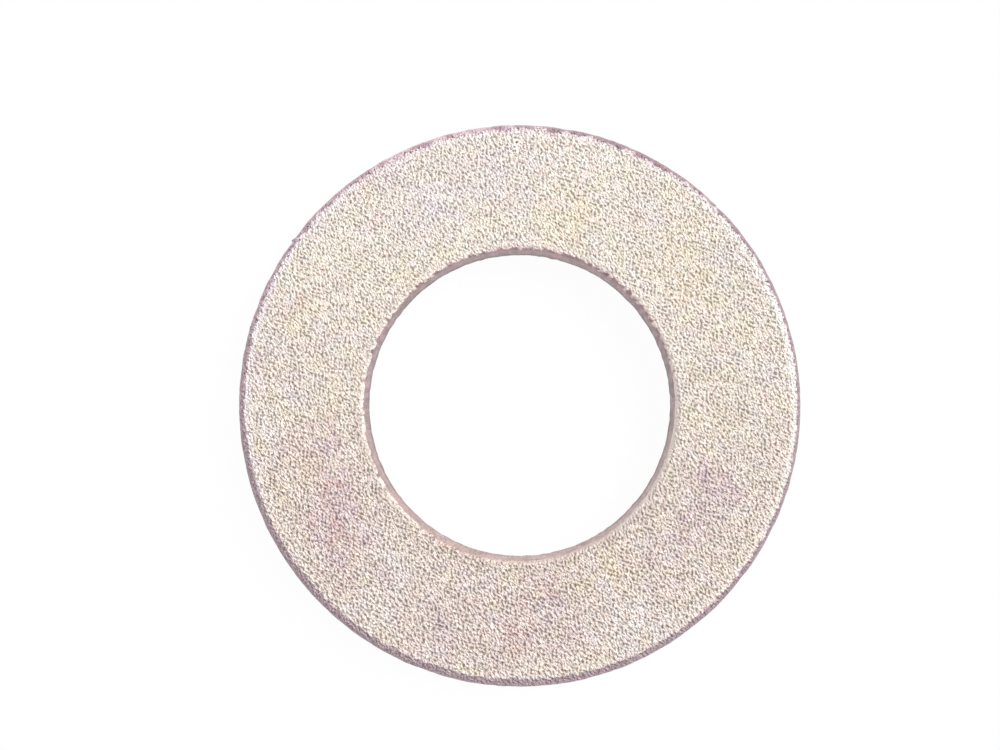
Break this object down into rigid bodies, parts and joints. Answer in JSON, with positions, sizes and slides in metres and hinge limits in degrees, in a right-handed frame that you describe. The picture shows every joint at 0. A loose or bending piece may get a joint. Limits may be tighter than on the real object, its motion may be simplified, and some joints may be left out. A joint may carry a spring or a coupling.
{
  "type": "flat washer",
  "caption": "Plain round flat washer stamped from steel plate, with rolled upper edges, a straight bolt bore and a pale, grainy zinc finish.",
  "frame": {"origin": "centre of the bore, on the lower face", "axes": "+Z along the bore axis, from the lower face to the upper face with the rolled edges; X and Y are any two square directions across the ring"},
  "size_m": [0.0374, 0.0374, 0.0034],
  "materials": {
    "zinc_plate": "matte, grainy zinc plate with a pale yellow passivation"
  },
  "bodies": {
    "root": {"washer": "zinc_plate"}
  },
  "joints": []
}
